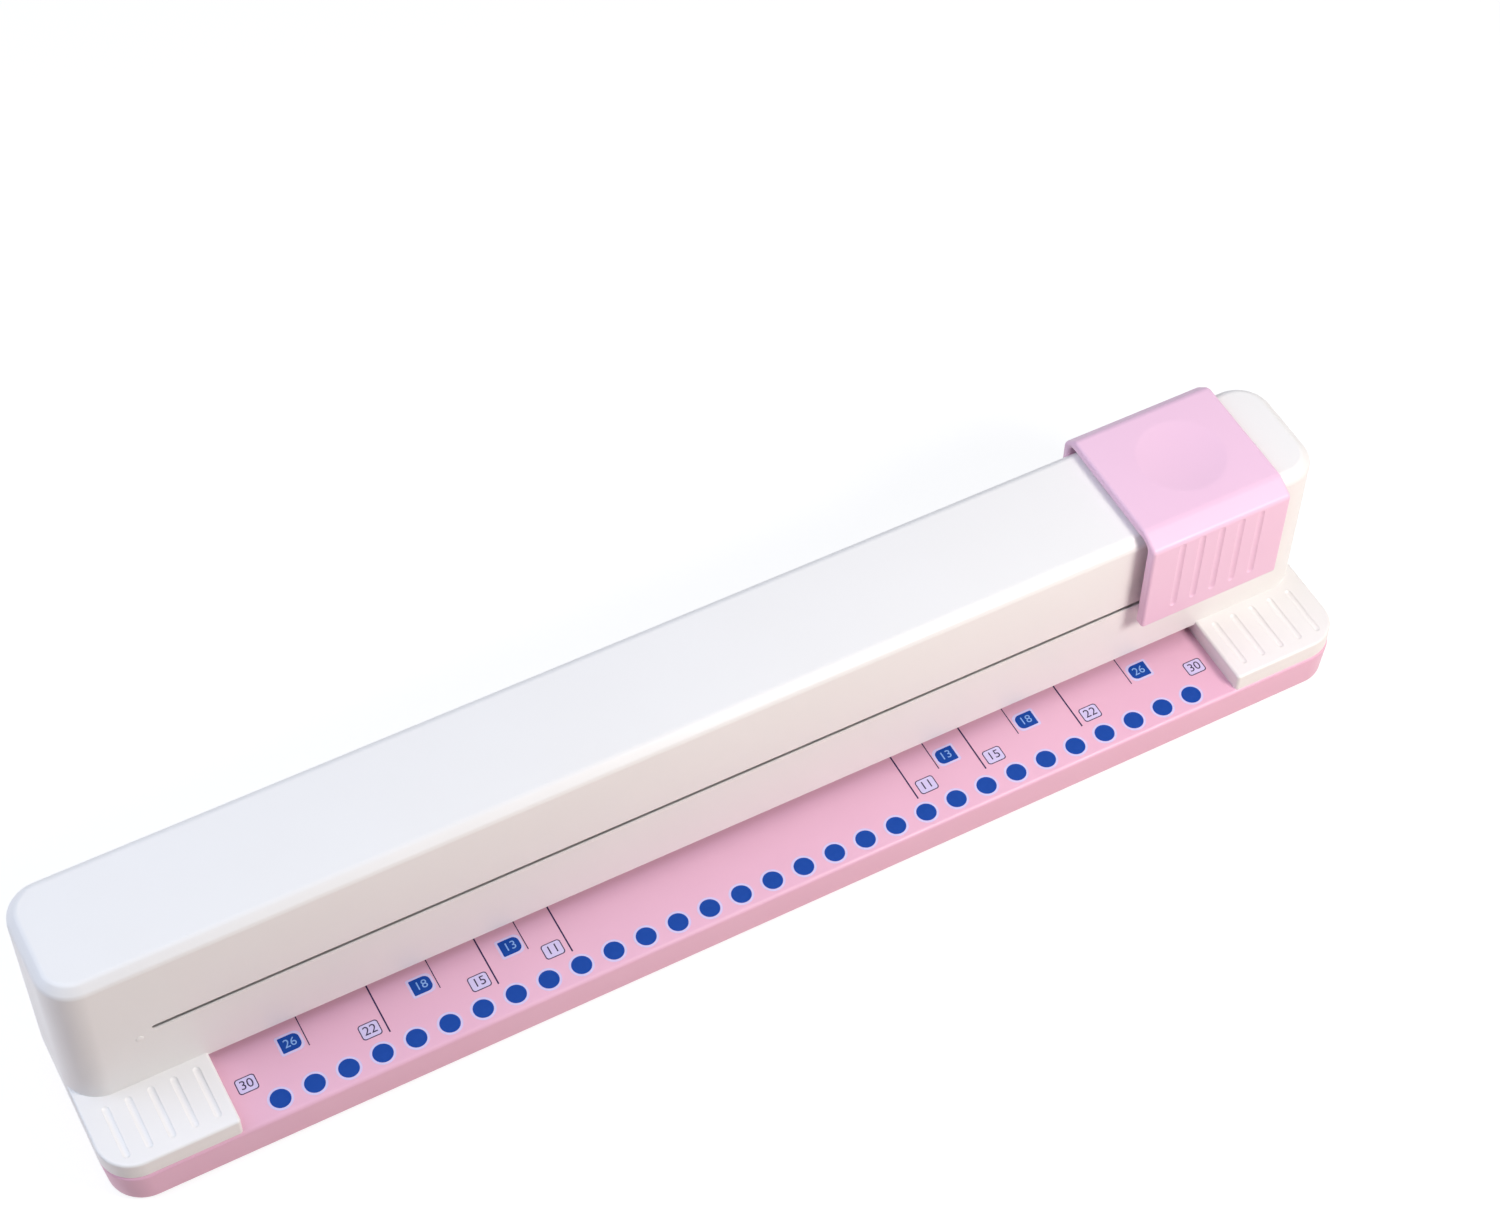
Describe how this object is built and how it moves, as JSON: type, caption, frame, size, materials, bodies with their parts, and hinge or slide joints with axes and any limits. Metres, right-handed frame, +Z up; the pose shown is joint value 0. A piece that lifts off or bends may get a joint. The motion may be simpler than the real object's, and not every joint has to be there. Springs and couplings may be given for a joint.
{
  "type": "sliding paper punch",
  "caption": "Long desk punch for loose-leaf sheets: a slider runs along a hollow beam over a paper deck and presses a row of sprung pins through a die plate, with a chip drawer below.",
  "frame": {"origin": "on the desk, under the middle of the whole punch with the slider parked at the right", "axes": "+X along the punch to the viewer's right, +Y from the front to the back, +Z up"},
  "size_m": [0.3704, 0.0634, 0.0714],
  "materials": {
    "pink_abs": "moulded, satin gloss",
    "white_abs": "moulded, satin gloss",
    "sheet_steel": "rolled, zinc plated",
    "tool_steel": "hardened and ground",
    "spring_steel": "drawn wire",
    "zinc_steel": "bright zinc plated",
    "rubber": "matt moulded"
  },
  "bodies": {
    "punch_body": {"base_deck": "pink_abs", "bottom_cover": "sheet_steel", "rubber_feet": "rubber", "base_screws": "zinc_steel", "die_plate": "tool_steel", "paper_stop": "sheet_steel", "stripper_plate": "sheet_steel", "pin_guide": "sheet_steel", "upper_rail": "sheet_steel", "left_bracket": "sheet_steel", "right_bracket": "sheet_steel", "bracket_screws": "zinc_steel", "end_bumpers": "rubber", "return_springs": "spring_steel", "upper_housing": "white_abs"},
    "slider": {"slider_cap": "pink_abs", "carriage": "sheet_steel", "press_axle_pin": "tool_steel", "support_axle_pins": "tool_steel", "axle_clips": "spring_steel"},
    "press_roller": {"press_roller": "tool_steel"},
    "support_roller_left": {"support_roller_left": "tool_steel"},
    "support_roller_right": {"support_roller_right": "tool_steel"},
    "chip_drawer": {"chip_drawer": "pink_abs"},
    "punch_pin_01": {"punch_pin_01": "tool_steel"},
    "punch_pin_02": {"punch_pin_02": "tool_steel"},
    "punch_pin_03": {"punch_pin_03": "tool_steel"},
    "punch_pin_04": {"punch_pin_04": "tool_steel"},
    "punch_pin_05": {"punch_pin_05": "tool_steel"},
    "punch_pin_06": {"punch_pin_06": "tool_steel"},
    "punch_pin_07": {"punch_pin_07": "tool_steel"},
    "punch_pin_08": {"punch_pin_08": "tool_steel"},
    "punch_pin_09": {"punch_pin_09": "tool_steel"},
    "punch_pin_10": {"punch_pin_10": "tool_steel"},
    "punch_pin_11": {"punch_pin_11": "tool_steel"},
    "punch_pin_12": {"punch_pin_12": "tool_steel"},
    "punch_pin_13": {"punch_pin_13": "tool_steel"},
    "punch_pin_14": {"punch_pin_14": "tool_steel"},
    "punch_pin_15": {"punch_pin_15": "tool_steel"},
    "punch_pin_16": {"punch_pin_16": "tool_steel"},
    "punch_pin_17": {"punch_pin_17": "tool_steel"},
    "punch_pin_18": {"punch_pin_18": "tool_steel"},
    "punch_pin_19": {"punch_pin_19": "tool_steel"},
    "punch_pin_20": {"punch_pin_20": "tool_steel"},
    "punch_pin_21": {"punch_pin_21": "tool_steel"},
    "punch_pin_22": {"punch_pin_22": "tool_steel"},
    "punch_pin_23": {"punch_pin_23": "tool_steel"},
    "punch_pin_24": {"punch_pin_24": "tool_steel"},
    "punch_pin_25": {"punch_pin_25": "tool_steel"},
    "punch_pin_26": {"punch_pin_26": "tool_steel"},
    "punch_pin_27": {"punch_pin_27": "tool_steel"},
    "punch_pin_28": {"punch_pin_28": "tool_steel"},
    "punch_pin_29": {"punch_pin_29": "tool_steel"},
    "punch_pin_30": {"punch_pin_30": "tool_steel"}
  },
  "joints": [
    {"name": "slider_slide", "type": "slide", "parent": "punch_body", "child": "slider", "axis": [1, 0, 0], "range_m": [-0.299, 0]},
    {"name": "press_roller_spin", "type": "hinge", "parent": "slider", "child": "press_roller", "pos_m": [0.1495, 0.00962, 0.0446], "axis": [0, 1, 0], "continuous": true},
    {"name": "support_roller_left_spin", "type": "hinge", "parent": "slider", "child": "support_roller_left", "pos_m": [0.1415, 0.00962, 0.0576], "axis": [0, 1, 0], "continuous": true},
    {"name": "support_roller_right_spin", "type": "hinge", "parent": "slider", "child": "support_roller_right", "pos_m": [0.1575, 0.00962, 0.0576], "axis": [0, 1, 0], "continuous": true},
    {"name": "chip_drawer_slide", "type": "slide", "parent": "punch_body", "child": "chip_drawer", "axis": [1, 0, 0], "range_m": [0, 0.3]},
    {"name": "pin_01_stroke", "type": "slide", "parent": "punch_body", "child": "punch_pin_01", "axis": [0, 0, 1], "range_m": [-0.0052, 0], "stiffness_N_per_m": 250, "springref_m": 0.008, "deforming": ["return_springs"]},
    {"name": "pin_02_stroke", "type": "slide", "parent": "punch_body", "child": "punch_pin_02", "axis": [0, 0, 1], "range_m": [-0.0052, 0], "stiffness_N_per_m": 250, "springref_m": 0.008, "deforming": ["return_springs"]},
    {"name": "pin_03_stroke", "type": "slide", "parent": "punch_body", "child": "punch_pin_03", "axis": [0, 0, 1], "range_m": [-0.0052, 0], "stiffness_N_per_m": 250, "springref_m": 0.008, "deforming": ["return_springs"]},
    {"name": "pin_04_stroke", "type": "slide", "parent": "punch_body", "child": "punch_pin_04", "axis": [0, 0, 1], "range_m": [-0.0052, 0], "stiffness_N_per_m": 250, "springref_m": 0.008, "deforming": ["return_springs"]},
    {"name": "pin_05_stroke", "type": "slide", "parent": "punch_body", "child": "punch_pin_05", "axis": [0, 0, 1], "range_m": [-0.0052, 0], "stiffness_N_per_m": 250, "springref_m": 0.008, "deforming": ["return_springs"]},
    {"name": "pin_06_stroke", "type": "slide", "parent": "punch_body", "child": "punch_pin_06", "axis": [0, 0, 1], "range_m": [-0.0052, 0], "stiffness_N_per_m": 250, "springref_m": 0.008, "deforming": ["return_springs"]},
    {"name": "pin_07_stroke", "type": "slide", "parent": "punch_body", "child": "punch_pin_07", "axis": [0, 0, 1], "range_m": [-0.0052, 0], "stiffness_N_per_m": 250, "springref_m": 0.008, "deforming": ["return_springs"]},
    {"name": "pin_08_stroke", "type": "slide", "parent": "punch_body", "child": "punch_pin_08", "axis": [0, 0, 1], "range_m": [-0.0052, 0], "stiffness_N_per_m": 250, "springref_m": 0.008, "deforming": ["return_springs"]},
    {"name": "pin_09_stroke", "type": "slide", "parent": "punch_body", "child": "punch_pin_09", "axis": [0, 0, 1], "range_m": [-0.0052, 0], "stiffness_N_per_m": 250, "springref_m": 0.008, "deforming": ["return_springs"]},
    {"name": "pin_10_stroke", "type": "slide", "parent": "punch_body", "child": "punch_pin_10", "axis": [0, 0, 1], "range_m": [-0.0052, 0], "stiffness_N_per_m": 250, "springref_m": 0.008, "deforming": ["return_springs"]},
    {"name": "pin_11_stroke", "type": "slide", "parent": "punch_body", "child": "punch_pin_11", "axis": [0, 0, 1], "range_m": [-0.0052, 0], "stiffness_N_per_m": 250, "springref_m": 0.008, "deforming": ["return_springs"]},
    {"name": "pin_12_stroke", "type": "slide", "parent": "punch_body", "child": "punch_pin_12", "axis": [0, 0, 1], "range_m": [-0.0052, 0], "stiffness_N_per_m": 250, "springref_m": 0.008, "deforming": ["return_springs"]},
    {"name": "pin_13_stroke", "type": "slide", "parent": "punch_body", "child": "punch_pin_13", "axis": [0, 0, 1], "range_m": [-0.0052, 0], "stiffness_N_per_m": 250, "springref_m": 0.008, "deforming": ["return_springs"]},
    {"name": "pin_14_stroke", "type": "slide", "parent": "punch_body", "child": "punch_pin_14", "axis": [0, 0, 1], "range_m": [-0.0052, 0], "stiffness_N_per_m": 250, "springref_m": 0.008, "deforming": ["return_springs"]},
    {"name": "pin_15_stroke", "type": "slide", "parent": "punch_body", "child": "punch_pin_15", "axis": [0, 0, 1], "range_m": [-0.0052, 0], "stiffness_N_per_m": 250, "springref_m": 0.008, "deforming": ["return_springs"]},
    {"name": "pin_16_stroke", "type": "slide", "parent": "punch_body", "child": "punch_pin_16", "axis": [0, 0, 1], "range_m": [-0.0052, 0], "stiffness_N_per_m": 250, "springref_m": 0.008, "deforming": ["return_springs"]},
    {"name": "pin_17_stroke", "type": "slide", "parent": "punch_body", "child": "punch_pin_17", "axis": [0, 0, 1], "range_m": [-0.0052, 0], "stiffness_N_per_m": 250, "springref_m": 0.008, "deforming": ["return_springs"]},
    {"name": "pin_18_stroke", "type": "slide", "parent": "punch_body", "child": "punch_pin_18", "axis": [0, 0, 1], "range_m": [-0.0052, 0], "stiffness_N_per_m": 250, "springref_m": 0.008, "deforming": ["return_springs"]},
    {"name": "pin_19_stroke", "type": "slide", "parent": "punch_body", "child": "punch_pin_19", "axis": [0, 0, 1], "range_m": [-0.0052, 0], "stiffness_N_per_m": 250, "springref_m": 0.008, "deforming": ["return_springs"]},
    {"name": "pin_20_stroke", "type": "slide", "parent": "punch_body", "child": "punch_pin_20", "axis": [0, 0, 1], "range_m": [-0.0052, 0], "stiffness_N_per_m": 250, "springref_m": 0.008, "deforming": ["return_springs"]},
    {"name": "pin_21_stroke", "type": "slide", "parent": "punch_body", "child": "punch_pin_21", "axis": [0, 0, 1], "range_m": [-0.0052, 0], "stiffness_N_per_m": 250, "springref_m": 0.008, "deforming": ["return_springs"]},
    {"name": "pin_22_stroke", "type": "slide", "parent": "punch_body", "child": "punch_pin_22", "axis": [0, 0, 1], "range_m": [-0.0052, 0], "stiffness_N_per_m": 250, "springref_m": 0.008, "deforming": ["return_springs"]},
    {"name": "pin_23_stroke", "type": "slide", "parent": "punch_body", "child": "punch_pin_23", "axis": [0, 0, 1], "range_m": [-0.0052, 0], "stiffness_N_per_m": 250, "springref_m": 0.008, "deforming": ["return_springs"]},
    {"name": "pin_24_stroke", "type": "slide", "parent": "punch_body", "child": "punch_pin_24", "axis": [0, 0, 1], "range_m": [-0.0052, 0], "stiffness_N_per_m": 250, "springref_m": 0.008, "deforming": ["return_springs"]},
    {"name": "pin_25_stroke", "type": "slide", "parent": "punch_body", "child": "punch_pin_25", "axis": [0, 0, 1], "range_m": [-0.0052, 0], "stiffness_N_per_m": 250, "springref_m": 0.008, "deforming": ["return_springs"]},
    {"name": "pin_26_stroke", "type": "slide", "parent": "punch_body", "child": "punch_pin_26", "axis": [0, 0, 1], "range_m": [-0.0052, 0], "stiffness_N_per_m": 250, "springref_m": 0.008, "deforming": ["return_springs"]},
    {"name": "pin_27_stroke", "type": "slide", "parent": "punch_body", "child": "punch_pin_27", "axis": [0, 0, 1], "range_m": [-0.0052, 0], "stiffness_N_per_m": 250, "springref_m": 0.008, "deforming": ["return_springs"]},
    {"name": "pin_28_stroke", "type": "slide", "parent": "punch_body", "child": "punch_pin_28", "axis": [0, 0, 1], "range_m": [-0.0052, 0], "stiffness_N_per_m": 250, "springref_m": 0.008, "deforming": ["return_springs"]},
    {"name": "pin_29_stroke", "type": "slide", "parent": "punch_body", "child": "punch_pin_29", "axis": [0, 0, 1], "range_m": [-0.0052, 0], "stiffness_N_per_m": 250, "springref_m": 0.008, "deforming": ["return_springs"]},
    {"name": "pin_30_stroke", "type": "slide", "parent": "punch_body", "child": "punch_pin_30", "axis": [0, 0, 1], "range_m": [-0.0052, 0], "stiffness_N_per_m": 250, "springref_m": 0.008, "deforming": ["return_springs"]}
  ],
  "couplings": [
    {"joint": "press_roller_spin", "follows": "slider_slide", "rad_per_m": 125},
    {"joint": "support_roller_left_spin", "follows": "slider_slide", "rad_per_m": -222.22},
    {"joint": "support_roller_right_spin", "follows": "slider_slide", "rad_per_m": -222.22}
  ]
}
